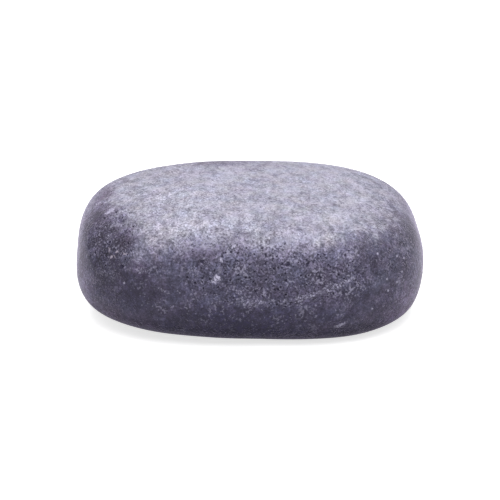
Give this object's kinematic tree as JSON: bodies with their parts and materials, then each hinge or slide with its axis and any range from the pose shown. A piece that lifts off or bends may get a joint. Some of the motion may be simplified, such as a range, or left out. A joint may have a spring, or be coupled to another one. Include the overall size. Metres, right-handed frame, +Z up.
{
  "type": "river pebble",
  "caption": "Waterworn river pebble of dark violet-grey stone: a rounded oblong block with a flat foot, a rough hollow at one shoulder and a pitted front.",
  "frame": {"origin": "on the flat foot, under the middle of the stone's box", "axes": "+X along the stone's length, -Y out of the pitted front, +Z up"},
  "size_m": [0.075, 0.0518, 0.0272],
  "materials": {
    "stone": "matt waterworn stone, dark violet-grey, with a pale dry bloom on top and fine dark pits"
  },
  "bodies": {
    "root": {"pebble": "stone"}
  },
  "joints": []
}
